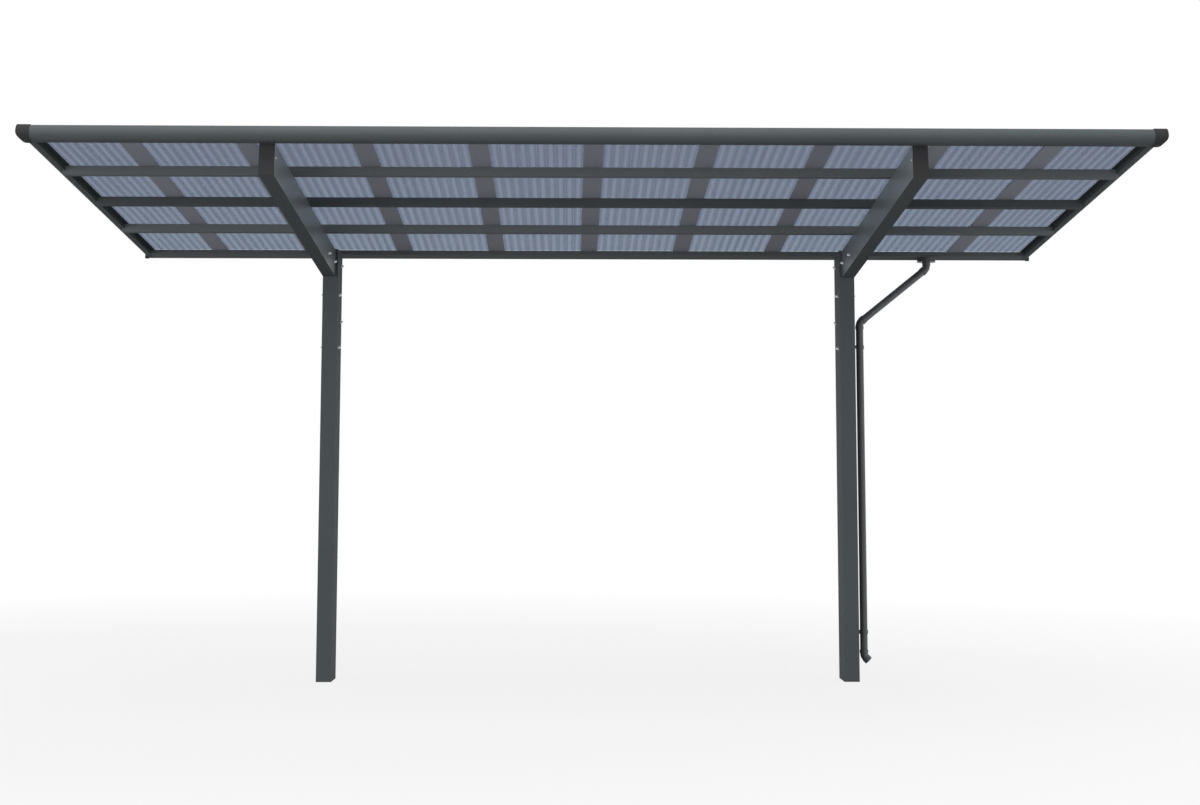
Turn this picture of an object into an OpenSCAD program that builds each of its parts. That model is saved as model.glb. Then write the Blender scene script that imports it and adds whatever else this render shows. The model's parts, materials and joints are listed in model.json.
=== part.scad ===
// Cantilever carport: two rear posts, two arms, three purlins and a sloping roof of ribbed sheets.
// Millimetres. The origin is the middle of the left post's foot, +X runs along the gutter,
// +Y points to the back and +Z up. The roof rises towards the front, -Y.

/* [Posts] */
// Distance between the middles of the two posts
post_span = 2768; // [2300:1:3200]
// Width of a post, seen from the front
post_w = 80; // [70:1:120]
// Depth of a post, seen from the side
post_d = 200; // [150:1:240]
// Wall of a post
post_wall = 4; // [2:0.5:8]
// Height of the roof's underside over the middle of the posts
roof_h = 2302; // [2000:1:2800]
// Space between the top of a post and the roof, at the back of the post
post_top_gap = 16; // [10:1:24]

/* [Roof] */
// Length of the roof along the gutter, over its corner caps
roof_l = 4880; // [4300:1:5600]
// Slope of the roof, down to the back
slope = 5.3; // [3:0.1:8]
// From the middle of the posts to the front of the roof, along the slope
roof_front = 2370; // [2200:1:2600]
// Clearance between pieces that fit into each other
fit = 0.3; // [0.2:0.05:0.6]

/* [Arms] */
// Width of an arm
arm_w = 66; // [50:1:78]
// Depth of an arm
arm_h = 140; // [110:1:180]
// Wall of an arm
arm_wall = 4; // [2:0.5:8]
// Thickness of the rim of an arm's end cap
arm_cap_rim = 4; // [2:0.5:8]
// Depth of the plug of an arm's end cap
arm_cap_plug = 30; // [15:1:50]

/* [Purlins] */
// Height of a purlin
purlin_h = 40; // [30:1:60]
// Width of a purlin, along the slope
purlin_w = 40; // [30:1:60]
// Wall of a purlin
purlin_wall = 2; // [1.5:0.1:4]
// Distance between purlins, along the slope
purlin_pitch = 600; // [450:1:640]
// From the middle of the posts to the front face of the rear purlin
purlin_rear = 548; // [420:1:600]
// How far a purlin reaches under a side rail
purlin_lap = 10; // [4:1:20]

/* [Edge profiles] */
// Lip of the edge profiles over the sheets
edge_lip = 5; // [2:0.5:12]
// Depth of the front beam below the roof's underside
beam_down = 42; // [36:1:80]
// Depth of the front beam, along the slope
beam_d = 65; // [50:1:100]
// How far the front beam's face bulges
beam_bulge = 22; // [5:1:34]
// Wall of the edge profiles
edge_wall = 2; // [1.5:0.1:3]
// Depth of the side rails and the gutter below the roof's underside
edge_down = 22; // [18:1:28]
// Width of a front corner cap
corner_w = 56; // [55:1:80]
// Radius of a front corner cap's lower outer edge
corner_r = 36; // [10:1:44]
// How far a corner cap stands proud of its profile
corner_proud = 2.5; // [1:0.5:5]
// Width of a side rail
rail_w = 50; // [36:1:52]
// Radius of a side rail's lower outer edge
rail_r = 30; // [10:1:34]
// How far the sheets reach into the edge profiles
sheet_grip = 18; // [10:1:24]

/* [Gutter] */
// Depth of the rear rail that carries the sheets over the gutter
rear_rail_d = 25; // [15:1:40]
// Clear width of the gutter
gutter_w = 76; // [66:1:110]
// Thickness of the gutter's floor
gutter_floor_t = 3; // [2:0.5:5]
// Depth of the gutter's back profile
gutter_back_d = 26; // [20:1:40]
// How far the gutter's back bulges
gutter_bulge = 14; // [4:1:18]
// Width of a rear corner cap
rear_corner_w = 20; // [12:1:40]
// How far the sheets reach over the gutter
sheet_over = 34; // [20:1:50]

/* [Sheets] */
// From an end of the roof to the middle of the first joint strip
end_bay = 432; // [300:1:500]
// Thickness of a sheet
sheet_t = 16; // [10:1:20]
// Skin of a sheet
sheet_skin = 1.2; // [0.8:0.1:2]
// Ribs inside a sheet: about this far apart
rib_pitch = 40; // [20:1:80]
// Thickness of a rib
rib_t = 1; // [0.8:0.1:2]
// Width of a joint strip's lower flange
strip_w = 88; // [50:1:120]
// Width of a joint strip's upper flange
strip_top_w = 60; // [40:1:100]
// Thickness of a joint strip's flanges
strip_t = 2; // [1.5:0.1:3]
// Thickness of a joint strip's web
strip_web = 3; // [2:0.1:5]

/* [Downpipe] */
// Outer diameter of the pipe
pipe_d = 40; // [32:1:50]
// Wall of the pipe
pipe_wall = 2; // [1.5:0.1:3]
// Wall of a bend's collar
collar_wall = 2.4; // [1.5:0.1:4]
// Length of a bend's collar, its shoulder included
collar_l = 18; // [12:1:30]
// Thickness of the shoulder that a pipe meets inside a collar
shoulder_t = 2; // [1:0.5:4]
// Wall of a bend between its collars
bend_wall = 2.6; // [2:0.1:4]
// Radius of a bend's centre line
bend_r = 34; // [30:1:60]
// Angle of the two upper bends
bend_a = 53; // [45:1:60]
// Angle of the shoe at the foot of the pipe
shoe_a = 45; // [30:1:60]
// Length of the shoe's mouth
shoe_l = 20; // [10:1:40]
// From the middle of the pipe to the middle of the outlet, along the gutter
outlet_off = 392; // [340:1:600]
// Diameter of the outlet's flange
outlet_d = 100; // [80:1:110]
// Thickness of the outlet's flange
outlet_t = 17; // [4:0.5:24]
// From the side of the right post to the middle of the pipe
pipe_off = 45; // [34:1:60]
// From the middle of the posts to the middle of the pipe, towards the back
pipe_y = 40; // [0:1:70]
// Height of the shoe's collar over the ground
pipe_foot = 136; // [115:1:200]
// From the top of the downpipe to the middle of the upper clamp
clamp_drop = 116; // [40:1:400]
// Height of the middle of the lower clamp
clamp_low = 248; // [230:1:600]
// Height of a clamp's band
clamp_h = 20; // [12:1:30]
// Thickness of a clamp's band
clamp_t = 3; // [2:0.5:5]
// Width of a clamp's spacer
spacer_w = 14; // [8:1:24]

/* [Hidden] */
$fn = 48;
paint = [0.27, 0.29, 0.30];
plastic = [0.20, 0.19, 0.19];
clear_sheet = [0.49, 0.53, 0.59, 0.8];
sheet_count = 10;
strip_count = sheet_count - 1;
sheet_pitch = (roof_l - 2 * end_bay) / (strip_count - 1);
mid_x = post_span / 2;
post_top = roof_h - post_d / 2 * tan(slope) - post_top_gap;
sheet_low = strip_t + fit;
sheet_top = sheet_low + sheet_t;
edge_up = sheet_top + fit + edge_lip;
beam_back = -roof_front + beam_d;
slot_depth = sheet_grip + fit;
arm_front = beam_back + fit + arm_cap_rim;
rail_inner = roof_l / 2 - corner_proud - rail_w;
purlin_end = rail_inner + purlin_lap;
rear_rail_v = (post_d / 2 + fit + edge_down * sin(slope)) / cos(slope);
gutter_v = rear_rail_v + rear_rail_d;
back_v = gutter_v + gutter_w;
pipe_bore = pipe_d - 2 * pipe_wall;
collar_bore = pipe_d + 2 * fit;
collar_d = collar_bore + 2 * collar_wall;
pipe_x = post_span + post_w / 2 + pipe_off;
outlet_x = pipe_x + outlet_off - mid_x;
outlet_v = gutter_v + gutter_w / 2;
outlet_y = outlet_v * cos(slope) - edge_down * sin(slope);
outlet_z = roof_h - outlet_v * sin(slope) - edge_down * cos(slope);
flange_rise = outlet_d / 2 * tan(slope);
collar_top = outlet_z - flange_rise - outlet_t;
bend_top = collar_top - collar_l;
run_x = -outlet_off;
run_y = pipe_y - outlet_y;
run_a = atan2(run_y, run_x);
bend_reach = bend_r * (1 - cos(bend_a));
bend_drop = bend_r * sin(bend_a);
slant_l = (norm([run_x, run_y]) - 2 * bend_reach) / sin(bend_a);
bend_low = bend_top - 2 * bend_drop - slant_l * cos(bend_a);
clamp_high = bend_low - clamp_drop;

sheets = [for (i = [1:sheet_count]) str("roof_sheet_", i)];
strips = [for (i = [1:strip_count]) str("joint_strip_", i)];

// The roof's own frame: X along the gutter from the middle, Y down the slope to the back, Z out of it
module on_roof() translate([mid_x, 0, roof_h]) rotate([-slope, 0, 0]) children();

// Draws out a profile of (down the slope, out of the roof) along the gutter
module along_gutter(from, to) translate([from, 0, 0]) rotate([90, 0, 90])
    linear_extrude(to - from) children();

// Draws out a profile of (along the gutter, out of the roof) down the slope
module down_slope(from, to) translate([0, to, 0]) rotate([90, 0, 0]) linear_extrude(to - from) children();

// Shows a piece of the left or the right half of the roof
module on_side(side) mirror([side < 0 ? 1 : 0, 0, 0]) children();

module rect(x0, x1, y0, y1) translate([x0, y0]) square([x1 - x0, y1 - y0]);

module box_tube(width, height, wall) difference() {
    square([width, height]);
    rect(wall, width - wall, wall, height - wall);
}

// A profile whose face bulges towards -X as one arc, between two narrow lands at its corners
module bulged(depth, low, high, bulge) {
    half = (high - low) / 2 - fit;
    radius = (half * half + bulge * bulge) / (2 * bulge);
    rect(bulge, depth, low, high);
    intersection() {
        rect(0, bulge, low, high);
        translate([radius, (low + high) / 2]) circle(radius);
    }
}

// The slot that takes the edge of the sheets, open at x = 0 towards -X
module sheet_slot(depth) rect(-fit, depth, sheet_low - fit, sheet_top + fit);

// Posts, closed at the foot
module post() difference() {
    translate([-post_w / 2, -post_d / 2, 0]) cube([post_w, post_d, post_top]);
    translate([-post_w / 2 + post_wall, -post_d / 2 + post_wall, post_wall])
        cube([post_w - 2 * post_wall, post_d - 2 * post_wall, post_top]);
}

module left_post() color(paint) post();

module right_post() color(paint) translate([post_span, 0, 0]) post();

// An arm on the right half: flush with the outside of its post and cut upright at the post's front
module arm() difference() {
    on_roof() translate([mid_x + post_w / 2 - arm_w, 0, -purlin_h - arm_h])
        down_slope(arm_front, 0) box_tube(arm_w, arm_h, arm_wall);
    translate([post_span - post_w, -post_d / 2, 0]) cube([2 * post_w, post_d, 2 * roof_h]);
}

module arm_cap() on_roof() translate([mid_x + post_w / 2 - arm_w, 0, -purlin_h - arm_h]) {
    down_slope(arm_front - arm_cap_rim, arm_front) square([arm_w, arm_h]);
    inset = arm_wall + fit;
    down_slope(arm_front, arm_front + arm_cap_plug) difference() {
        rect(inset, arm_w - inset, inset, arm_h - inset);
        rect(inset + arm_wall, arm_w - inset - arm_wall, inset + arm_wall, arm_h - inset - arm_wall);
    }
}

// Puts a piece of the right half on the left
module to_left() translate([post_span, 0, 0]) mirror([1, 0, 0]) children();

module left_arm() color(paint) to_left() arm();

module right_arm() color(paint) arm();

module left_arm_cap() color(plastic) to_left() arm_cap();

module right_arm_cap() color(plastic) arm_cap();

// Purlins, counted from the back, and coped at both ends so that the side rails lie on them
module purlin(index) on_roof() difference() {
    along_gutter(-purlin_end, purlin_end)
        translate([-purlin_rear - index * purlin_pitch, -purlin_h])
            box_tube(purlin_w, purlin_h, purlin_wall);
    for (side = [-1, 1]) on_side(side)
        translate([rail_inner, -roof_front, -edge_down]) cube([rail_w, roof_front, edge_down + fit]);
}

module front_purlin() color(paint) purlin(2);

module middle_purlin() color(paint) purlin(1);

module rear_purlin() color(paint) purlin(0);

// The front chamber of the beam
module beam_chamber() intersection() {
    translate([edge_wall, 0]) bulged(beam_d, -beam_down + edge_wall, edge_up - edge_wall, beam_bulge);
    rect(0, beam_d - slot_depth - edge_wall, -beam_down, edge_up);
}

module beam_profile() difference() {
    bulged(beam_d, -beam_down, edge_up, beam_bulge);
    beam_chamber();
    rect(beam_d - slot_depth, beam_d - edge_wall, -beam_down + edge_wall, sheet_low - fit - edge_wall);
    translate([beam_d, 0]) mirror([1, 0]) sheet_slot(slot_depth);
}

module front_beam() color(paint) on_roof() along_gutter(corner_w - roof_l / 2, roof_l / 2 - corner_w)
    translate([-roof_front, 0]) beam_profile();

// An outline that is round at its lower outer corner
module round_corner(inner, outer, low, high, radius) {
    rect(inner, outer - radius, low, high);
    rect(inner, outer, low + radius, high);
    intersection() {
        rect(inner, outer, low, high);
        translate([outer - radius, low + radius]) circle(radius);
    }
}

// A moulded corner that closes the beam's end, with a plug in the beam's front chamber
module front_corner(side) color(plastic) on_roof() on_side(side) {
    inner = roof_l / 2 - corner_w;
    low = -beam_down - corner_proud;
    high = edge_up + corner_proud;
    difference() {
        intersection() {
            along_gutter(inner, roof_l / 2) translate([-roof_front - corner_proud, 0])
                bulged(beam_d + corner_proud, low, high, beam_bulge);
            down_slope(-roof_front - 2 * corner_proud, beam_back + fit)
                round_corner(inner - fit, roof_l / 2, low, high + fit, corner_r);
        }
        along_gutter(inner - fit, rail_inner + slot_depth) translate([beam_back, 0]) mirror([1, 0])
            sheet_slot(slot_depth);
    }
    inset = edge_wall + fit;
    along_gutter(inner - sheet_grip, inner) translate([-roof_front, 0])
        rect(beam_bulge, beam_d - slot_depth - inset, -beam_down + inset, edge_up - inset);
}

module front_corner_left() front_corner(-1);

module front_corner_right() front_corner(1);

// A side rail's outline, round at its lower outer edge, made smaller by an inset
module rail_outline(inset)
    round_corner(inset, rail_w - inset, -edge_down + inset, edge_up - inset, rail_r - inset);

module rail_profile() difference() {
    rail_outline(0);
    intersection() {
        rail_outline(edge_wall);
        union() {
            rect(0, rail_w, -edge_down, sheet_low - fit - edge_wall);
            rect(slot_depth + edge_wall, rail_w, -edge_down, edge_up);
        }
    }
    sheet_slot(slot_depth);
}

module side_rail(side) color(paint) on_roof() on_side(side)
    down_slope(beam_back, back_v) translate([rail_inner, 0]) rail_profile();

module side_rail_left() side_rail(-1);

module side_rail_right() side_rail(1);

// The gutter: a rear rail under the sheets, a floor and a round back
module rear_rail() color(paint) on_roof() along_gutter(-rail_inner, rail_inner)
    translate([rear_rail_v, -edge_down]) box_tube(rear_rail_d, edge_down, purlin_wall);

module outlet_axis() translate([mid_x + outlet_x, outlet_y, 0]) children();

module gutter_floor() color(paint) difference() {
    on_roof() along_gutter(-rail_inner, rail_inner)
        rect(gutter_v, back_v, -edge_down, -edge_down + gutter_floor_t);
    outlet_axis() cylinder(d = pipe_bore, h = 2 * roof_h);
}

module back_profile(proud) translate([back_v + gutter_back_d + proud, 0]) mirror([1, 0])
    bulged(gutter_back_d + proud, -edge_down - proud, edge_up + proud, gutter_bulge);

module back_chamber() translate([back_v + gutter_back_d - edge_wall, 0]) mirror([1, 0])
    bulged(gutter_back_d - 2 * edge_wall, -edge_down + edge_wall, edge_up - edge_wall, gutter_bulge);

module gutter_back() color(paint) on_roof()
    along_gutter(rear_corner_w - roof_l / 2, roof_l / 2 - rear_corner_w) difference() {
        back_profile(0);
        back_chamber();
    }

module rear_corner(side) color(plastic) on_roof() on_side(side) {
    inner = roof_l / 2 - rear_corner_w;
    along_gutter(inner, roof_l / 2) back_profile(corner_proud);
    inset = edge_wall + fit;
    along_gutter(inner - sheet_grip, inner)
        rect(back_v + inset, back_v + gutter_back_d - gutter_bulge, -edge_down + inset, edge_up - inset);
}

module rear_corner_left() rear_corner(-1);

module rear_corner_right() rear_corner(1);

// Roof sheets: two skins with ribs between them, which run down the slope
function strip_u(i) = (i - sheet_count / 2) * sheet_pitch;
function sheet_from(i) = i == 1 ? -rail_inner - sheet_grip : strip_u(i - 1) + strip_web / 2 + fit;
function sheet_to(i) = i == sheet_count ? rail_inner + sheet_grip : strip_u(i) - strip_web / 2 - fit;

module sheet_profile(width) {
    cells = max(1, round(width / rib_pitch));
    cell_w = (width - rib_t) / cells;
    difference() {
        square([width, sheet_t]);
        for (k = [0:cells - 1])
            rect(k * cell_w + rib_t, (k + 1) * cell_w, sheet_skin, sheet_t - sheet_skin);
    }
}

module roof_sheet(i) color(clear_sheet) on_roof() down_slope(beam_back - sheet_grip, gutter_v + sheet_over)
    translate([sheet_from(i), sheet_low]) sheet_profile(sheet_to(i) - sheet_from(i));

// Joint strips: a lower and an upper flange on a web between two sheets
module strip_profile() {
    rect(-strip_w / 2, strip_w / 2, 0, strip_t);
    rect(-strip_web / 2, strip_web / 2, 0, sheet_top + fit + strip_t);
    rect(-strip_top_w / 2, strip_top_w / 2, sheet_top + fit, sheet_top + fit + strip_t);
}

module joint_strip(i) color(paint) on_roof() down_slope(beam_back, gutter_v + sheet_over)
    translate([strip_u(i), 0]) strip_profile();

// The downpipe: an outlet under the gutter, two bends with a slanted pipe, the pipe and its shoe
module ring(outer, inner) difference() {
    circle(d = outer);
    circle(d = inner);
}

// A collar that takes the end of a pipe against its shoulder and starts a little way down the bend
module collar(length) difference() {
    translate([0, 0, -fit]) cylinder(d = collar_d, h = length + fit);
    translate([0, 0, -2 * fit]) cylinder(d = pipe_bore + 2 * fit, h = length + 2 * fit);
    translate([0, 0, shoulder_t]) cylinder(d = collar_bore, h = length);
}

// A bend that starts downwards and turns towards +X, with a collar at each end
module pipe_bend(angle, end_l) {
    collar(collar_l);
    translate([bend_r, 0, 0]) rotate([90, 0, 0]) rotate([0, 0, 180]) rotate_extrude(angle = angle)
        translate([bend_r, 0]) ring(pipe_bore + 2 * bend_wall, pipe_bore);
    translate([bend_r * (1 - cos(angle)), 0, -bend_r * sin(angle)]) rotate([0, 180 - angle, 0])
        collar(end_l);
}

module gutter_outlet() color(plastic) difference() {
    outlet_axis() {
        translate([0, 0, collar_top]) cylinder(d = outlet_d, h = outlet_t + 2 * flange_rise);
        translate([0, 0, bend_top + shoulder_t]) cylinder(d = pipe_d, h = collar_l - shoulder_t);
    }
    outlet_axis() cylinder(d = pipe_bore, h = 2 * roof_h);
    on_roof() translate([outlet_x - outlet_d, outlet_v - outlet_d, -edge_down])
        cube([2 * outlet_d, 2 * outlet_d, 2 * outlet_d]);
}

module upper_bend() color(paint) outlet_axis() translate([0, 0, bend_top]) rotate([0, 0, run_a])
    pipe_bend(bend_a, collar_l);

module slanted_pipe() color(paint) outlet_axis() translate([0, 0, bend_top]) rotate([0, 0, run_a])
    translate([bend_reach, 0, -bend_drop]) rotate([0, 180 - bend_a, 0]) translate([0, 0, shoulder_t])
        linear_extrude(slant_l - 2 * shoulder_t) ring(pipe_d, pipe_bore);

module pipe_axis() translate([pipe_x, pipe_y, 0]) children();

module lower_bend() color(paint) pipe_axis() translate([0, 0, bend_low]) rotate([0, 0, run_a])
    rotate([0, 180, 0]) pipe_bend(bend_a, collar_l);

module downpipe() color(paint) pipe_axis() translate([0, 0, pipe_foot + shoulder_t])
    linear_extrude(bend_low - pipe_foot - 2 * shoulder_t) ring(pipe_d, pipe_bore);

module pipe_shoe() color(paint) pipe_axis() translate([0, 0, pipe_foot])
    pipe_bend(shoe_a, shoe_l);

// A band round the pipe, on a spacer that stands on the side of the post
module pipe_clamp() difference() {
    union() {
        cylinder(d = collar_bore + 2 * clamp_t, h = clamp_h);
        translate([-pipe_off, -spacer_w / 2, 0]) cube([pipe_off, spacer_w, clamp_h]);
    }
    translate([0, 0, -fit]) cylinder(d = collar_bore, h = clamp_h + 2 * fit);
}

module pipe_clamps() color(paint) pipe_axis() for (z = [clamp_high, clamp_low])
    translate([0, 0, z - clamp_h / 2]) pipe_clamp();

left_post();
right_post();
left_arm();
right_arm();
left_arm_cap();
right_arm_cap();
front_purlin();
middle_purlin();
rear_purlin();
front_beam();
front_corner_left();
front_corner_right();
side_rail_left();
side_rail_right();
rear_rail();
gutter_floor();
gutter_back();
rear_corner_left();
rear_corner_right();
gutter_outlet();
upper_bend();
slanted_pipe();
lower_bend();
downpipe();
pipe_shoe();
pipe_clamps();
for (i = [1:sheet_count]) roof_sheet(i);
for (i = [1:strip_count]) joint_strip(i);
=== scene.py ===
# %% [markdown]
# # A cantilever carport
# Two posts stand at the back, two arms reach forward from them, and a sloping roof of tinted ribbed sheets
# lies on three purlins. The solids come ready made from the construction model, at their real size. This
# lesson gives them their finishes, adds the small steel parts and the seals, and sets up light and camera.

# %% Load the frame
import json
import math

import bmesh
import bpy
from mathutils import Matrix, Vector


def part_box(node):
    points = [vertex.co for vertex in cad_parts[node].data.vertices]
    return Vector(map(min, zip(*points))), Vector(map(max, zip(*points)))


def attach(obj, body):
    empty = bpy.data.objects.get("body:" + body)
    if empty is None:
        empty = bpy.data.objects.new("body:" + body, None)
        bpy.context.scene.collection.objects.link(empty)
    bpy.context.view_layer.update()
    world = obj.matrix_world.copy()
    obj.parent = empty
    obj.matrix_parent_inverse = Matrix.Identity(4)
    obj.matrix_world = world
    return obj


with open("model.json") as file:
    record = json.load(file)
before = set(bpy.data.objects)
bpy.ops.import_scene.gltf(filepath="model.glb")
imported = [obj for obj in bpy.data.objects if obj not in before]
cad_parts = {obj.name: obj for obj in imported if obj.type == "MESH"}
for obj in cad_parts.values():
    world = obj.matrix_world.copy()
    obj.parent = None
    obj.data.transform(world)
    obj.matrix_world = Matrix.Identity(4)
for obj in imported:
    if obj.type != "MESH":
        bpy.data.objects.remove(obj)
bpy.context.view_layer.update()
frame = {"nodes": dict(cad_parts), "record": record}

# %% [markdown]
# ## The camera
# The picture was taken from the front, a little left of the middle and at chest height, looking slightly
# up. A camera can be set by eye, but here it was fitted to the edges of posts, purlins and strips, so its
# place is known to a few millimetres. A lens shift keeps the low horizon without tilting the posts any
# further.

# %% Camera
PICTURE_W, PICTURE_H = 1200, 805
FOCAL_PIXELS = 1950
AXIS_ROW = 250
SENSOR_MM = 36
YAW, PITCH, ROLL = 0.0155, 0.1153, -0.0012
EYE = Vector((1.2811, -10.4969, 1.0719))

forward = Vector((math.sin(YAW) * math.cos(PITCH), math.cos(YAW) * math.cos(PITCH), math.sin(PITCH)))
level = Vector((math.cos(YAW), -math.sin(YAW), 0))
down = forward.cross(level)
right = level * math.cos(ROLL) + down * math.sin(ROLL)
up = -forward.cross(right)

lens = bpy.data.cameras.new("lens")
lens.sensor_width = SENSOR_MM
lens.sensor_fit = "HORIZONTAL"
lens.lens = FOCAL_PIXELS / PICTURE_W * SENSOR_MM
lens.shift_y = (AXIS_ROW - PICTURE_H / 2) / PICTURE_W
camera = bpy.data.objects.new("camera", lens)
camera.matrix_world = Matrix((right, up, -forward)).transposed().to_4x4()
camera.location = EYE
scene = bpy.context.scene
scene.collection.objects.link(camera)
scene.camera = camera
scene.view_settings.view_transform = "Standard"
print("lens", round(lens.lens, 1), "mm, shift", round(lens.shift_y, 3))

# %% [markdown]
# ## Writing shaders as sums
# Node trees get hard to read when each node is wired by hand. One small class wraps a socket, so that `1 -
# mask` or `rough + 0.1 * grain` adds the Math nodes by itself. Every other node comes from one method,
# which takes the node's type, its settings and what goes into its sockets. A Mix node has several sockets
# of the same name, so those for colours are known by their numbers.

# %% A socket that can be written in sums
MIX_FACTOR, MIX_LOW, MIX_HIGH, MIX_RESULT = 0, 6, 7, 2


class Flow:
    """One output of a node, or a number on its way through a node tree."""

    def __init__(self, tree, socket=None):
        self.tree = tree
        self.socket = socket

    def node(self, kind, settings, sockets, out=0):
        """Adds a node: its settings first, then values or links by socket name or number."""
        made = self.tree.nodes.new(kind)
        for name, value in settings.items():
            setattr(made, name, value)
        for name, value in sockets.items():
            if isinstance(value, Flow):
                self.tree.links.new(value.socket, made.inputs[name])
            else:
                made.inputs[name].default_value = value
        return Flow(self.tree, made.outputs[out])

    def math(self, operation, first, second=0.0):
        """Adds a Math node for two values."""
        return self.node("ShaderNodeMath", {"operation": operation}, {0: first, 1: second})

    def __add__(self, other):
        return self.math("ADD", self, other)

    def __sub__(self, other):
        return self.math("SUBTRACT", self, other)

    def __rsub__(self, other):
        return self.math("SUBTRACT", other, self)

    def __mul__(self, other):
        return self.math("MULTIPLY", self, other)

    def __truediv__(self, other):
        return self.math("DIVIDE", self, other)

    __radd__ = __add__
    __rmul__ = __mul__

    def clamp(self):
        """Keeps a value between 0 and 1."""
        return self.node("ShaderNodeClamp", {}, {"Value": self})

    def part(self, axis):
        """One coordinate of a vector: X, Y or Z."""
        return self.node("ShaderNodeSeparateXYZ", {}, {"Vector": self}, out=axis)

    def blend(self, low, high):
        """Mixes two colours, with this value as the factor."""
        sockets = {MIX_FACTOR: self, MIX_LOW: four(low), MIX_HIGH: four(high)}
        return self.node("ShaderNodeMix", {"data_type": "RGBA"}, sockets, out=MIX_RESULT)


def four(colour):
    """A colour as a Mix node wants it: links stay as they are, and plain colours get an alpha."""
    return colour if isinstance(colour, Flow) else (*colour, 1)


print("shader sums ready")

# %% [markdown]
# A material starts from two things: the place on the surface, in metres, and the shader that takes the
# finish. The place is the object's own, so a pattern stays on its piece from whichever side it is seen.
# Colours are written as they are read off a screen, which is how a maker's colour chart gives them.

# %% Start a material
def start(name):
    """A new material, with its place in metres as a Flow and its shader node."""
    material = bpy.data.materials.new(name)
    material.use_nodes = True
    tree = material.node_tree
    place = Flow(tree).node("ShaderNodeTexCoord", {}, {}, out="Object")
    return material, place, tree.nodes["Principled BSDF"]


def feed(flow, shader, **sockets):
    """Links or sets the shader's sockets; an underscore in a name stands for a space."""
    for name, value in sockets.items():
        socket = shader.inputs[name.replace("_", " ")]
        if isinstance(value, Flow):
            flow.tree.links.new(value.socket, socket)
        else:
            socket.default_value = value


def tone(red, green, blue):
    """A colour as it is read off a screen, 0 to 255, turned into the shader's linear light."""
    return tuple(((c / 255 + 0.055) / 1.055) ** 2.4 for c in (red, green, blue))


def shade(colour, factor):
    """The same colour, darker or lighter."""
    return tuple(c * factor for c in colour)


def noise(place, scale, detail=2.0):
    """Soft noise between 0 and 1, with blobs of about 1 / scale metres."""
    return place.node("ShaderNodeTexNoise", {}, {"Vector": place, "Scale": scale, "Detail": detail})


print("material helpers ready")

# %% [markdown]
# ## Edges
# No drawn or moulded edge is quite sharp. The solids could be bevelled, but they stay as they are, so a
# bevel in the shader rounds the edges for the light alone. The angle between that rounded normal and the
# flat one marks the edge itself, where a moulding is rubbed, and where the powder coat is thin and is
# painted lighter, partly for the thin coat and partly as a painted edge highlight.

# %% Edges and relief
EDGE_RADIUS = 0.0022
EDGE_SAMPLES = 4
EDGE_GAIN = 4
RELIEF = 0.0003


def facing(place):
    """The direction in which the flat face looks."""
    return place.node("ShaderNodeNewGeometry", {}, {}, out="Normal")


def rounded_edge(place):
    """The normal with its edges rounded, and a mask that is 1 on the edge and 0 on the flat."""
    normal = place.node("ShaderNodeBevel", {"samples": EDGE_SAMPLES}, {"Radius": EDGE_RADIUS})
    dot = {"operation": "DOT_PRODUCT"}
    cosine = place.node("ShaderNodeVectorMath", dot, {0: normal, 1: facing(place)}, out="Value")
    return normal, ((1 - cosine) * EDGE_GAIN).clamp()


def relief(place, strength, height, normal):
    """A normal with a fine pattern pressed into it."""
    pattern = {"Strength": strength, "Distance": RELIEF, "Height": height, "Normal": normal}
    return place.node("ShaderNodeBump", {}, pattern)


print("edges rounded by", EDGE_RADIUS * 1000, "mm")

# %% [markdown]
# A finish also depends on where it lies: undersides get a painted shade, and the front end of a piece is
# painted lighter than its rear. The way a face looks, and how far along the piece's own box it is, tell the
# two. Neither changes with the view.

# %% Where a face lies
def underside(place):
    """1 on faces that look down, and 0 on upright faces and on top."""
    return (0 - facing(place).part("Z")).clamp()


def through_piece(place, axis):
    """0 at one end of the piece's box, growing to 1 at the other."""
    return place.node("ShaderNodeTexCoord", {}, {}, out="Generated").part(axis)


print("masks for undersides and ends ready")

# %% [markdown]
# ## Powder coat
# Posts, arms, purlins and edge profiles are aluminium with a baked anthracite powder coat. Such a coat has a
# fine orange peel, and drifts a little in tone where it lies thicker. At the profile's edges it pulls thin
# and is painted lighter, partly for the thin coat and partly as a painted edge highlight. The gloss is a
# thin satin layer on top. On undersides the satin is weaker and the tone is darker, a painted shade. A piece
# with glare and dust is painted lighter at its front end, a painted reflection, and dulled by dust at its
# rear end, under the low side of the roof.

# %% Powder coat
DRIFT_SCALE, DRIFT_DETAIL = 2.3, 4.0
SMEAR_SCALE, SMEAR_DETAIL = 14, 5.0
PEEL_SCALE, PEEL_STRENGTH = 650, 0.10
COAT_ROUGH, SMEAR_ROUGH, PEEL_ROUGH, SATIN_ROUGH = 0.55, 0.10, 0.04, 0.35
THICK_TONE, THIN_TONE = 0.9, 1.1
EDGE_WEAR_AND_HIGHLIGHT_TONE, EDGE_WEAR_AND_HIGHLIGHT, SMEAR_WEAR_AND_HIGHLIGHT = 1.9, 0.25, 0.5
UNDERSIDE_PAINTED_SHADE = 0.85
FRONT_GLARE_TONE, FRONT_GLARE_TO = 1.5, 0.4
DUST, DUSTY_FROM = 0.85, 0.62


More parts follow.
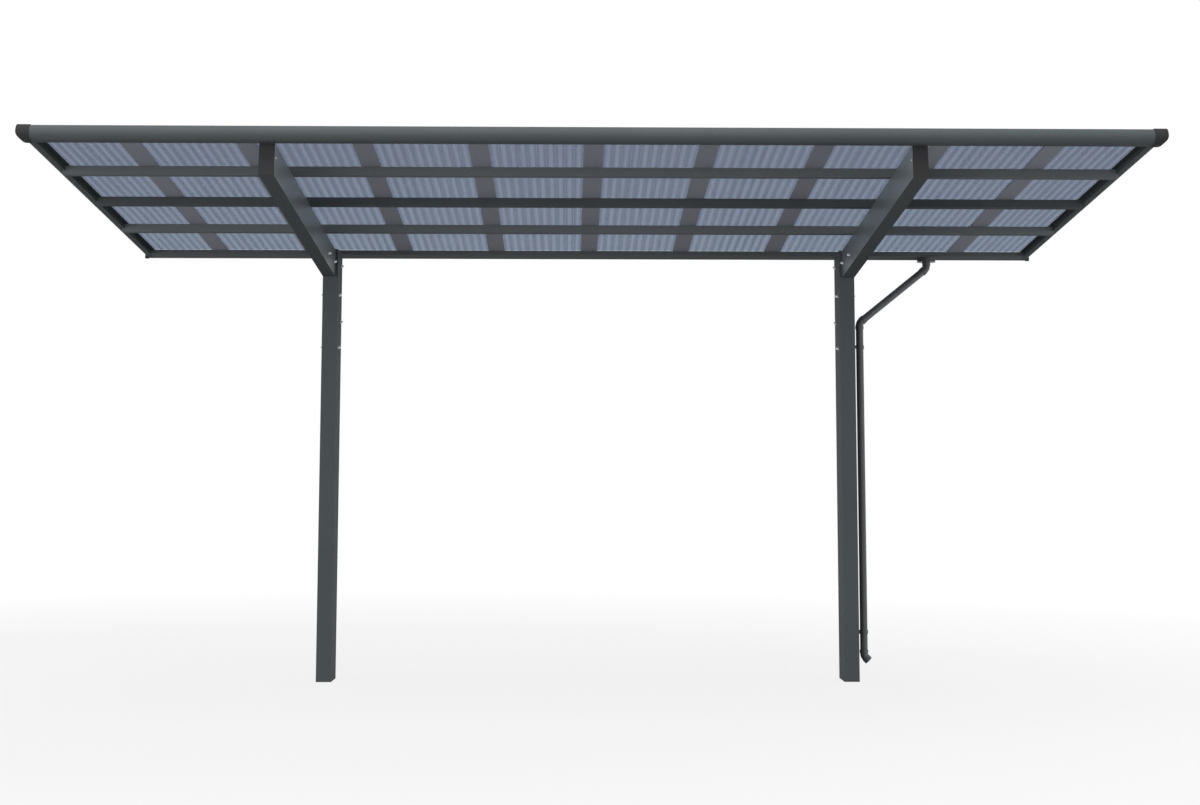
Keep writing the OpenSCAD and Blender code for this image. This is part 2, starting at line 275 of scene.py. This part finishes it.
def powder_coat(name, colour, satin, shade_and_dull_below, glare_and_dust=False):
    """A coat of one colour. Its undersides lose a share of their satin and take the same share of painted
    shade; a glare-and-dust piece is painted lighter at its front and dulled at its rear.
    """
    material, place, shader = start(name)
    drift = noise(place, DRIFT_SCALE, DRIFT_DETAIL)
    peel = noise(place, PEEL_SCALE)
    smear = noise(place, SMEAR_SCALE, SMEAR_DETAIL)
    normal, edge = rounded_edge(place)
    coat = drift.blend(shade(colour, THICK_TONE), shade(colour, THIN_TONE))
    layer = satin
    if glare_and_dust:
        along = through_piece(place, "Y")
        # Painted reflection: the front end of the piece is painted lighter.
        front_painted_glare = (1 - along / FRONT_GLARE_TO).clamp()
        dusty = ((along - DUSTY_FROM) / (1 - DUSTY_FROM)).clamp()
        coat = front_painted_glare.blend(coat, shade(colour, FRONT_GLARE_TONE))
        layer = layer * (1 - DUST * dusty)
    if shade_and_dull_below:
        # Painted shade: undersides are darkened, and their satin is dulled.
        painted_shade_and_dull = shade_and_dull_below * underside(place)
        coat = painted_shade_and_dull.blend(coat, shade(colour, UNDERSIDE_PAINTED_SHADE))
        layer = layer * (1 - painted_shade_and_dull)
    # Edges painted lighter: partly the thin coat, partly a painted edge highlight.
    worn_and_highlit = (edge * (EDGE_WEAR_AND_HIGHLIGHT + SMEAR_WEAR_AND_HIGHLIGHT * smear)).blend(coat, shade(colour, EDGE_WEAR_AND_HIGHLIGHT_TONE))
    feed(place, shader, Base_Color=worn_and_highlit, Roughness=COAT_ROUGH + SMEAR_ROUGH * smear + PEEL_ROUGH * peel,
         Normal=relief(place, PEEL_STRENGTH, peel, normal), Specular_IOR_Level=0.0,
         Coat_Weight=layer, Coat_Roughness=SATIN_ROUGH)
    return material


print("powder coat with a peel of about", round(1000 / PEEL_SCALE, 1), "mm")

# %% [markdown]
# Five coats are sprayed, though the frame is one anthracite all over. One serves posts, rails, the front
# beam and the middle purlin. The arms have the strongest satin, since their sides mirror the roof, and they
# alone get the painted lighter front and the dusty rear. The arms, the outer purlins and the gutter are
# painted a little lighter than that one anthracite, as painted light, and the joint strips are a lighter
# grey.

# %% The coats
SATIN, ARM_SATIN = 0.07, 1.0

frame_coat = powder_coat("powder coat anthracite", tone(76, 81, 83), SATIN, shade_and_dull_below=0.3)
# Painted light: the arms, outer purlins and gutter get lighter copies of the one anthracite.
lit_arm_coat = powder_coat("powder coat of the arms painted lighter", tone(84, 89, 91), ARM_SATIN, shade_and_dull_below=1.0, glare_and_dust=True)
lit_purlin_coat = powder_coat("powder coat of the purlins painted lighter", tone(102, 107, 109), SATIN, shade_and_dull_below=0.6)
lit_gutter_coat = powder_coat("powder coat of the gutter painted lighter", tone(88, 92, 94), SATIN, shade_and_dull_below=0.0)
strip_coat = powder_coat("coated strip grey", tone(128, 131, 140), SATIN, shade_and_dull_below=0.0)
print("coats", [c.name for c in (frame_coat, lit_arm_coat, lit_purlin_coat, lit_gutter_coat, strip_coat)])

# %% [markdown]
# ## Moulded plastic
# The corner caps and the arms' end plugs are moulded in brown-black plastic, the rain pipe in anthracite,
# and the seals along the roof's sides in dark rubber. Moulded parts show a fine spark-eroded grain instead
# of orange peel, and handling leaves faint dull patches. A pattern of small cells gives that grain better
# than soft noise would.

# %% Moulded plastic
CAP_GRAIN, PIPE_GRAIN, GRAIN_STRENGTH = 900, 1400, 0.15
TOUCH_SCALE, TOUCH_DETAIL, TOUCH_ROUGH = 9, 4.0, 0.12
TOUCHED_TONE, CLEAN_TONE = 0.88, 1.12
RUBBED_TONE, EDGE_RUB = 1.6, 0.5
SHINE_ROUGH = 0.22


def moulded_plastic(name, colour, rough, shine, grain_scale):
    """A plastic or rubber of one colour, with the grain of its mould."""
    material, place, shader = start(name)
    grain = place.node("ShaderNodeTexVoronoi", {}, {"Vector": place, "Scale": grain_scale})
    touch = noise(place, TOUCH_SCALE, TOUCH_DETAIL)
    normal, edge = rounded_edge(place)
    body = touch.blend(shade(colour, TOUCHED_TONE), shade(colour, CLEAN_TONE))
    rubbed = (edge * EDGE_RUB).blend(body, shade(colour, RUBBED_TONE))
    feed(place, shader, Base_Color=rubbed, Roughness=rough + TOUCH_ROUGH * touch,
         Normal=relief(place, GRAIN_STRENGTH, grain, normal), Specular_IOR_Level=0.0,
         Coat_Weight=shine, Coat_Roughness=SHINE_ROUGH)
    return material


cap_plastic = moulded_plastic("moulded cap brown black", tone(52, 51, 52), 0.55, SATIN, CAP_GRAIN)
pipe_plastic = moulded_plastic("moulded pipe anthracite", tone(72, 75, 77), 0.45, 0.6, PIPE_GRAIN)
# Dark seal rubber, which also stands in for the shade in the slot under the sheet.
seal_rubber_and_slot_shade = moulded_plastic("dark seal rubber and slot shade", tone(62, 64, 65), 0.65, 0.0, CAP_GRAIN)
print("plastics", [c.name for c in (cap_plastic, pipe_plastic, seal_rubber_and_slot_shade)])

# %% [markdown]
# ## Ribbed sheets
# A roof sheet is two clear skins with ribs between them, drawn out as one hollow profile. To colour the
# parts of a sheet apart, the material has to know where a point lies: on a rib, on the upper skin or on the
# lower one. The ribs face sideways. The skins are told apart by their height square to the roof, which
# needs the slope. A sheet's box doesn't hold that slope, since the thickness is part of both its height
# and its depth, but a few rounds of guessing settle it.

# %% Where a point lies on a sheet
SHEET_THICK = 0.016
LEAN_ROUNDS = 6
SIDEWAYS = 0.5


def box_lean(low, high, thick):
    """The slope of a flat bar, from its box and its thickness square to the roof."""
    lean = 0.0
    for _ in range(LEAN_ROUNDS):
        lean = math.atan2(high.z - low.z - thick * math.cos(lean), high.y - low.y - thick * math.sin(lean))
    return lean


def on_rib(place):
    """1 on the upright ribs between the skins, and 0 on the skins."""
    return place.math("GREATER_THAN", place.math("ABSOLUTE", facing(place).part("X")), SIDEWAYS)


def on_upper_skin(place, low, high):
    """1 on the upper skin and 0 on the lower one, measured square to the roof."""
    lean = box_lean(low, high, SHEET_THICK)
    underneath = (high.y - SHEET_THICK * math.sin(lean)) * math.sin(lean) + low.z * math.cos(lean)
    height = place.part("Y") * math.sin(lean) + place.part("Z") * math.cos(lean)
    return place.math("GREATER_THAN", height, underneath + SHEET_THICK / 2)


print("skins of a sheet told apart at", SHEET_THICK / 2, "m of its thickness")

# %% [markdown]
# The sheets are tinted blue grey, and light is let through the material itself: it takes the tint of each
# skin that it passes. A real skin bends light so strongly that a ray is hard to follow through four faces,
# which gives a grainy picture. A very weak bend keeps it calm. What is lost that way comes back as a
# pattern: skins bow between the ribs, so light gathers in the middle of each cell and the ribs look dark.
# A cosine across the lower skin, with one wave to each cell, gives that band. It is on one skin alone, since
# two bands seen at a slant would slide over each other and cancel out. The upper skin is painted lighter
# towards the gutter, a painted gradient of light.

# %% Ribbed sheets
RIB_PITCH = 0.040
CLEAR = (1, 1, 1)
LOWER_DARK, LOWER_LIGHT = (0.322, 0.349, 0.419), (0.524, 0.568, 0.634)
UPPER_FRONT, UPPER_REAR = (0.400, 0.429, 0.502), (0.455, 0.508, 0.574)
ODD_SHARE = 0.25
HAZE_SCALE, HAZE_DETAIL, HAZE_SHARE = 6, 3.0, 0.15
SKIN_ROUGH, HAZE_ROUGH = 0.02, 0.05
WEAK_BEND = 1.005


def ribbed_sheet(name, cells, low, high):
    """A clear tinted sheet with a number of cells across it."""
    material, place, shader = start(name)
    phase = through_piece(place, "X") * cells
    wave = 0.5 - 0.5 * place.math("COSINE", phase * (2 * math.pi))
    cell = place.math("FLOOR", phase + 0.5)
    odd = place.node("ShaderNodeTexWhiteNoise", {"noise_dimensions": "1D"}, {"W": cell})
    haze = noise(place, HAZE_SCALE, HAZE_DETAIL)
    light = (wave * (1 - ODD_SHARE + ODD_SHARE * odd) + HAZE_SHARE * (haze - 0.5)).clamp()
    lower = light.blend(LOWER_DARK, LOWER_LIGHT)
    # Painted light: the upper skin is painted lighter towards the gutter.
    upper = through_piece(place, "Y").blend(UPPER_FRONT, UPPER_REAR)
    skin = on_upper_skin(place, low, high).blend(lower, upper)
    tint = on_rib(place).blend(skin, CLEAR)
    feed(place, shader, Base_Color=tint, Roughness=SKIN_ROUGH + HAZE_ROUGH * haze,
         Transmission_Weight=1.0, IOR=WEAK_BEND)
    return material


def sheet_finish(node):
    """The sheet material whose cells match the node's own ribs."""
    low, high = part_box(node)
    cells = round((high.x - low.x) / RIB_PITCH)
    name = f"tinted sheet of {cells} cells"
    return bpy.data.materials.get(name) or ribbed_sheet(name, cells, low, high)


print("sheet finish", sheet_finish("roof_sheet_1").name, "and", sheet_finish("roof_sheet_2").name)

# %% [markdown]
# ## Dress the solids
# The record says which finish each solid takes, so one loop hands out the materials. The pieces with a coat
# of their own are named first, and a piece that has neither is a roof sheet.

# %% Dress the solids
own_coats = {"left_arm": lit_arm_coat, "right_arm": lit_arm_coat,
             "front_purlin": lit_purlin_coat, "rear_purlin": lit_purlin_coat,
             "rear_rail": lit_gutter_coat, "gutter_floor": lit_gutter_coat, "gutter_back": lit_gutter_coat}
finishes = {"frame_paint": frame_coat, "cap_plastic": cap_plastic, "strip_paint": strip_coat,
            "pipe_plastic": pipe_plastic}
for subpart in frame["record"]["subparts"]:
    node = subpart["node"]
    finish = own_coats.get(node) or finishes.get(subpart["material_slot"]) or sheet_finish(node)
    for place_on_solid in frame["nodes"][node].material_slots:
        place_on_solid.material = finish

# %% [markdown]
# ## Zinc plating
# Bolts and screws are steel with a bright zinc plating. Plain metal would do from afar, but up close the
# plating has small spangles and dull stains, so one pattern of cells and one of noise share its tone.

# %% Zinc plating
SPANGLE_SCALE, SPANGLE_SHARE = 700, 0.6
STAIN_SCALE, STAIN_DETAIL, STAIN_SHARE = 120, 3.0, 0.4
ZINC_METAL, ZINC_ROUGH, STAIN_ROUGH = 0.85, 0.24, 0.2


def zinc_plating():
    """Bright metal with spangles and stains."""
    material, place, shader = start("bright zinc")
    cells = {"Vector": place, "Scale": SPANGLE_SCALE}
    spangle = place.node("ShaderNodeTexVoronoi", {}, cells, out="Color")
    grey = place.node("ShaderNodeSeparateColor", {}, {"Color": spangle})
    stain = noise(place, STAIN_SCALE, STAIN_DETAIL)
    plate = (SPANGLE_SHARE * grey + STAIN_SHARE * stain).blend(tone(196, 198, 198), tone(240, 241, 240))
    feed(place, shader, Base_Color=plate, Metallic=ZINC_METAL, Roughness=ZINC_ROUGH + STAIN_ROUGH * stain)
    return material


zinc = zinc_plating()
print("plating", zinc.name)

# %% [markdown]
# ## Bolts
# Hexagon bolts with washers go through the posts and the arms' rear ends. Cylinders and booleans could make
# them, but every part of a bolt is a stack of rings round one axis, so one function turns them all. With
# many sides it gives a washer or a dome, and with six sides a head or a nut.

# %% Turn a stack of rings
ROUND_SIDES, HEX_SIDES = 28, 6


def turn(mesh, at, axis, rings, sides):
    """Adds a solid of rings (radius, height) round an axis, closed at both ends."""
    spin = axis.to_track_quat("Z", "Y").to_matrix().to_4x4()
    stand = Matrix.Translation(at) @ spin
    loops = []
    for radius, height in rings:
        corners = [2 * math.pi * k / sides for k in range(sides)]
        loops.append([mesh.verts.new(stand @ Vector((radius * math.cos(a), radius * math.sin(a), height)))
                      for a in corners])
    mesh.faces.new(reversed(loops[0]))
    mesh.faces.new(loops[-1])
    for lower, upper in zip(loops, loops[1:]):
        for k in range(sides):
            n = (k + 1) % sides
            mesh.faces.new((lower[k], lower[n], upper[n], upper[k]))


print("rings turn with", ROUND_SIDES, "or", HEX_SIDES, "sides")

# %% [markdown]
# On the inner face of a post or an arm there is a washer and a chamfered head under a small dome. On the
# outer face there is a washer, a nut and the bolt's end.

# %% Heads and nuts
WASHER_R, WASHER_T = 0.0095, 0.0016
HEAD_R, HEAD_H, HEAD_TOP = 0.0085, 0.0060, 0.86
DOME_RINGS = [(0.0068, 0), (0.0062, 0.0030), (0.0046, 0.0054), (0.0018, 0.0066)]
STUD_R, STUD_H = 0.004, 0.0115
CHAMFER = 0.0006


def washer(mesh, at, axis):
    """A round washer; returns the seat on top of it."""
    rings = [(WASHER_R, 0), (WASHER_R, WASHER_T - CHAMFER), (WASHER_R - CHAMFER, WASHER_T)]
    turn(mesh, at, axis, rings, ROUND_SIDES)
    return at + axis * WASHER_T


def hexagon(mesh, at, axis):
    """The six-sided body of a head or a nut, with a chamfer on top."""
    rings = [(HEAD_R, 0), (HEAD_R, HEAD_H - 2 * CHAMFER), (HEAD_R * HEAD_TOP, HEAD_H)]
    turn(mesh, at, axis, rings, HEX_SIDES)


def bolt_head(mesh, at, axis):
    """Washer, head and dome."""
    seat = washer(mesh, at, axis)
    hexagon(mesh, seat, axis)
    turn(mesh, seat + axis * HEAD_H, axis, DOME_RINGS, ROUND_SIDES)


def bolt_nut(mesh, at, axis):
    """Washer, nut and the end of the bolt."""
    seat = washer(mesh, at, axis)
    hexagon(mesh, seat, axis)
    rings = [(STUD_R, 0), (STUD_R, STUD_H - CHAMFER), (STUD_R - CHAMFER, STUD_H)]
    turn(mesh, seat, axis, rings, ROUND_SIDES)


print("bolt heads of", 2000 * HEAD_R, "mm")

# %% [markdown]
# The bolts take their places from the posts and arms themselves: a depth and a height on the side face, in
# a zigzag, so that two holes never weaken the same height. The left and right halves are mirror images, so
# one list serves both. All bolts are one mesh, since nothing here moves by itself.

# %% Place the bolts
POST_ROWS = [(0.055, 2.200), (-0.035, 2.036), (0.055, 1.897), (-0.035, 1.754)]
ARM_ROWS = [(-0.395, 2.222), (-0.153, 2.205)]
ALONG = Vector((1, 0, 0))

bolts = bmesh.new()
for side, inwards in (("left", 1), ("right", -1)):
    for piece, rows in (("post", POST_ROWS), ("arm", ARM_ROWS)):
        low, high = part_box(f"{side}_{piece}")
        inner, outer = (high.x, low.x) if inwards > 0 else (low.x, high.x)
        for depth, height in rows:
            bolt_head(bolts, Vector((inner, depth, height)), ALONG * inwards)
            bolt_nut(bolts, Vector((outer, depth, height)), ALONG * -inwards)


def new_piece(name, mesh, material):
    """Makes a finished piece of a bmesh, which rides on the carport."""
    data = bpy.data.meshes.new(name)
    mesh.to_mesh(data)
    mesh.free()
    data.materials.append(material)
    piece = bpy.data.objects.new(name, data)
    scene.collection.objects.link(piece)
    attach(piece, "root")
    print("made", name, "with", len(data.polygons), "faces")


new_piece("bolts", bolts, zinc)

# %% [markdown]
# ## Screws
# A pan-head screw closes each pipe clamp, on the front of its spacer, and one holds each arm's end plug. The
# same function turns them, with four rings to a head.

# %% Screws of the pipe clamps and the end plugs
PAN_RINGS = [(0.0052, 0), (0.0052, 0.0012), (0.0044, 0.0026), (0.0022, 0.0034)]
CLAMP_H, SPACER_W = 0.020, 0.014
TO_FRONT = Vector((0, -1, 0))
ARM_SCREW = Vector((0, -2.270, 2.417))

screws = bmesh.new()
clamp_low, clamp_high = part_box("pipe_clamps")
post_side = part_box("right_post")[1].x
pipe_low, pipe_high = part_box("downpipe")
spacer = Vector(((post_side + pipe_low.x) / 2, (pipe_low.y + pipe_high.y - SPACER_W) / 2, 0))
for height in (clamp_low.z + CLAMP_H / 2, clamp_high.z - CLAMP_H / 2):
    turn(screws, spacer + Vector((0, 0, height)), TO_FRONT, PAN_RINGS, ROUND_SIDES)

for side, inwards in (("left", 1), ("right", -1)):
    low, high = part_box(f"{side}_arm")
    inner = Vector((high.x if inwards > 0 else low.x, 0, 0))
    turn(screws, inner + ARM_SCREW, ALONG * inwards, PAN_RINGS, ROUND_SIDES)
print("screws so far have", len(screws.faces), "faces")

# %% [markdown]
# On top of the roof a row of screws with round sealing washers holds each joint strip down on the sheets.
# They stand square to the roof, whose slope follows from a strip's box and depth, as it did for the sheets.

# %% Screws of the joint strips
SCREW_PITCH, SCREW_END = 0.38, 0.11
STRIP_DEEP = 0.0206


def roof_axes(lean):
    """The direction out of the roof, square to it, and the one down its slope."""
    return Vector((0, math.sin(lean), math.cos(lean))), Vector((0, math.cos(lean), -math.sin(lean)))


strip_nodes = [name for name in frame["nodes"] if name.startswith("joint_strip")]
for name in strip_nodes:
    low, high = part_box(name)
    lean = box_lean(low, high, STRIP_DEEP)
    out_of_roof, down_slope = roof_axes(lean)
    top_front = Vector(((low.x + high.x) / 2, low.y + STRIP_DEEP * math.sin(lean), high.z))
    run = (high.y - low.y) / math.cos(lean)
    count = round((run - 2 * SCREW_END) / SCREW_PITCH)
    for k in range(count + 1):
        at = top_front + down_slope * (SCREW_END + (run - 2 * SCREW_END) * k / count)
        seat = washer(screws, at, out_of_roof)
        turn(screws, seat, out_of_roof, PAN_RINGS, ROUND_SIDES)
new_piece("screws", screws, zinc)

# %% [markdown]
# ## Side seals
# Along both sides of the roof a rubber lip closes the slot between the side rail and the sheet above it; its
# dark tone also stands in for the shade in that slot. It is a flat bar just under the sheet, from the front
# beam to the gutter. A stretched cube is enough for it, because only its lower face and one thin edge can be
# seen.

# %% Place the side seals
SEAL_W, SEAL_T, SEAL_GAP = 0.020, 0.0014, 0.0003
SEAL_END = 0.030

seals = bmesh.new()
for side, node, inwards in (("left", "roof_sheet_1", 1), ("right", "roof_sheet_10", -1)):
    low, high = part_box(node)
    lean = box_lean(low, high, SHEET_THICK)
    out_of_roof, down_slope = roof_axes(lean)
    rail_low, rail_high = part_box(f"side_rail_{side}")
    rail_face = rail_high.x if inwards > 0 else rail_low.x
    front_end = (rail_low.y - low.y) / math.cos(lean) + SEAL_END
    rear_end = (min(rail_high.y, high.y) - low.y) / math.cos(lean) - SEAL_END
    under_sheet = Vector((rail_face, low.y, high.z - SHEET_THICK * math.cos(lean)))
    middle = under_sheet + down_slope * (front_end + rear_end) / 2 - out_of_roof * (SEAL_GAP + SEAL_T / 2)
    middle.x += inwards * SEAL_W / 2
    edges = (ALONG * SEAL_W, down_slope * (rear_end - front_end), out_of_roof * SEAL_T)
    stretch = Matrix(edges).transposed().to_4x4()
    bmesh.ops.create_cube(seals, size=1, matrix=Matrix.Translation(middle) @ stretch)
new_piece("side_seals_and_slot_shade", seals, seal_rubber_and_slot_shade)

# %% [markdown]
# ## Studio
# The carport stands on a plain pale floor under an even sky. The background is white: floor and sky show
# full white to the camera, and to gloss and glass, while the light that falls on the carport stays at a
# plain level. A Light Path node tells these rays apart.

# %% Sky
SKY_LIGHT = 0.85
WHITE = (1, 1, 1, 1)


def seen(tree):
    """1 where a ray comes from the camera, a reflection or glass, and 0 for light on the carport."""
    camera_rays = Flow(tree).node("ShaderNodeLightPath", {}, {}, out="Is Camera Ray")
    path = camera_rays.socket.node.outputs
    total = camera_rays + Flow(tree, path["Is Glossy Ray"]) + Flow(tree, path["Is Transmission Ray"])
    return total.clamp()


world = bpy.data.worlds.new("sky")
scene.world = world
world.use_nodes = True
strength = SKY_LIGHT + (1 - SKY_LIGHT) * seen(world.node_tree)
feed(strength, world.node_tree.nodes["Background"], Color=WHITE, Strength=strength)
print("sky gives", SKY_LIGHT, "of full white")

# %% [markdown]
# The floor is one big square. White alone would make the carport float, so near its feet a share of the
# floor's own shading is mixed in, with the carport's soft shadow. Further out that share fades, and the
# floor runs into the sky without a line.

# %% Floor
FLOOR_HALF = 60
FLOOR_GREY = (0.26, 0.26, 0.26, 1)
SHADOW_KEPT = 0.15
SHADOW_NEAR, SHADOW_FAR = 3.0, 8.0


def pale_floor():
    """A dull grey that the camera sees as white, but for a share of its shading near the carport."""
    material, place, shader = start("pale floor")
    feed(place, shader, Base_Color=FLOOR_GREY, Roughness=1, Specular_IOR_Level=0)
    reach = place.node("ShaderNodeVectorMath", {"operation": "LENGTH"}, {0: place}, out="Value")
    near = 1 - ((reach - SHADOW_NEAR) / (SHADOW_FAR - SHADOW_NEAR)).clamp()
    white_share = seen(place.tree) * (1 - SHADOW_KEPT * near)
    glow = place.node("ShaderNodeEmission", {}, {})
    looks = {0: white_share, 1: Flow(place.tree, shader.outputs[0]), 2: glow}
    mixed = place.node("ShaderNodeMixShader", {}, looks)
    place.tree.links.new(mixed.socket, place.tree.nodes["Material Output"].inputs["Surface"])
    return material


square = bmesh.new()
bmesh.ops.create_grid(square, x_segments=1, y_segments=1, size=FLOOR_HALF)
floor_mesh = bpy.data.meshes.new("floor")
square.to_mesh(floor_mesh)
square.free()
floor_mesh.materials.append(pale_floor())
floor = bpy.data.objects.new("floor", floor_mesh)
scene.collection.objects.link(floor)
print("floor of", 2 * FLOOR_HALF, "m")

# %% [markdown]
# One broad soft lamp hangs high in front of the roof. A weaker one stands low at the camera's side to open
# up the underside, as a photographer's reflector would, and one on each side lights the posts and the
# arms. None of them is seen in the satin or through the sheets, where it would leave a bright patch.

# %% Lamps
ROOF_FRONT = (1.38, -2.3, 2.5)
UNDER_ROOF = (1.38, -1.0, 1.6)


def soft_lamp(name, at, look_at, size, watts):
    """A round lamp that lights the carport but isn't seen in gloss or through the sheets."""
    lamp = bpy.data.lights.new(name, "AREA")
    lamp.shape = "DISK"
    lamp.size = size
    lamp.energy = watts
    stand = bpy.data.objects.new(name, lamp)
    stand.location = at
    stand.rotation_euler = (Vector(look_at) - Vector(at)).to_track_quat("-Z", "Y").to_euler()
    stand.visible_glossy = False
    stand.visible_transmission = False
    scene.collection.objects.link(stand)
    print(name, watts, "W")


soft_lamp("key lamp", (0.2, -4.8, 9.5), ROOF_FRONT, size=5.0, watts=600)
soft_lamp("fill lamp", (-2.0, -11.0, 1.6), UNDER_ROOF, size=7.0, watts=450)
soft_lamp("left lamp", (-7.5, -1.6, 1.2), UNDER_ROOF, size=5.0, watts=430)
soft_lamp("right lamp", (10.3, -1.6, 1.2), UNDER_ROOF, size=5.0, watts=600)
